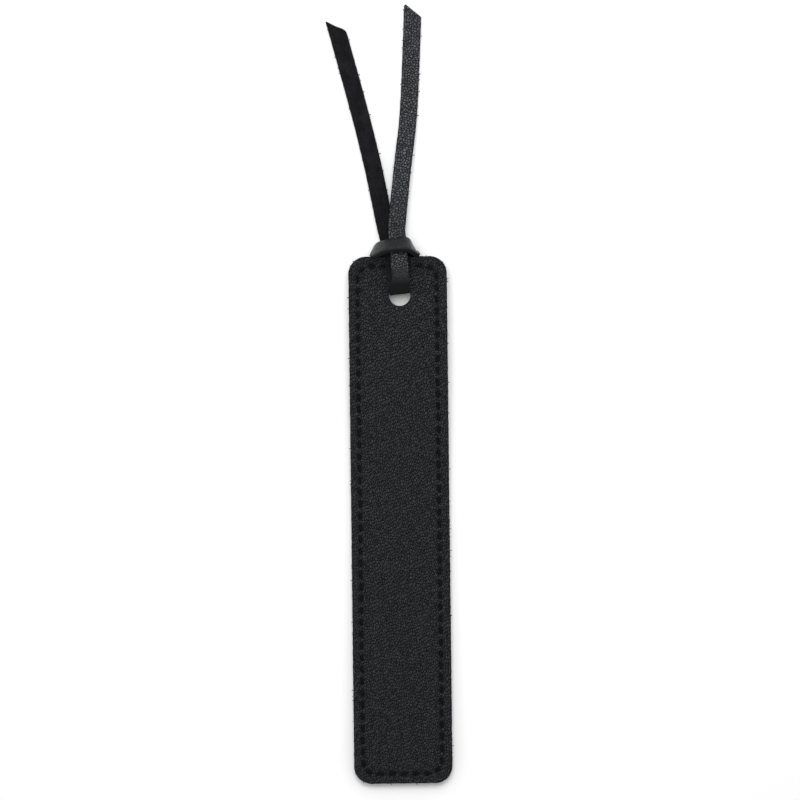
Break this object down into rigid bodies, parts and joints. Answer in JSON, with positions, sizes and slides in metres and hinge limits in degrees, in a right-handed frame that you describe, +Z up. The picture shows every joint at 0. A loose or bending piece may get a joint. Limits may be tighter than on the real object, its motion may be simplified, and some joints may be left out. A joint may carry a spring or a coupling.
{
  "type": "leather bookmark",
  "caption": "Flat sewn leather bookmark with rounded corners, an edge seam and a flat lace hitched through a punched hole; its tails swing and lift.",
  "frame": {"origin": "middle of the panel, on the surface that it lies on", "axes": "+X across the panel, +Y along it towards the lace, +Z up out of its front face"},
  "size_m": [0.027, 0.1775, 0.0081],
  "materials": {
    "grain_leather": "black pebbled grain, satin",
    "lace_leather": "black grain on one side, matte flesh on the other",
    "thread": "black twisted thread"
  },
  "bodies": {
    "panel": {"front_panel": "grain_leather", "back_panel": "grain_leather", "needle_thread": "thread", "bobbin_thread": "thread", "lace_hitch": "lace_leather"},
    "left_tail_root": {"left_tail_base": "lace_leather"},
    "left_tail_tip": {"left_tail_end": "lace_leather"},
    "right_tail_root": {"right_tail_base": "lace_leather"},
    "right_tail_tip": {"right_tail_end": "lace_leather"}
  },
  "joints": [
    {"name": "left_tail_swing", "type": "hinge", "parent": "panel", "child": "left_tail_root", "pos_m": [-0.0025, 0.0662, 0.0006], "axis": [0, 0, 1], "range_deg": [0, 40]},
    {"name": "left_tail_lift", "type": "hinge", "parent": "left_tail_root", "child": "left_tail_tip", "pos_m": [-0.00431, 0.07553, 0.0012], "axis": [0.9816, 0.1908, 0], "range_deg": [0, 90]},
    {"name": "right_tail_swing", "type": "hinge", "parent": "panel", "child": "right_tail_root", "pos_m": [-0.00013, 0.0662, 0.00188], "axis": [0, 0, -1], "range_deg": [0, 40]},
    {"name": "right_tail_lift", "type": "hinge", "parent": "right_tail_root", "child": "right_tail_tip", "pos_m": [0.00086, 0.07565, 0.00248], "axis": [0.9945, -0.1045, 0], "range_deg": [0, 90]}
  ]
}
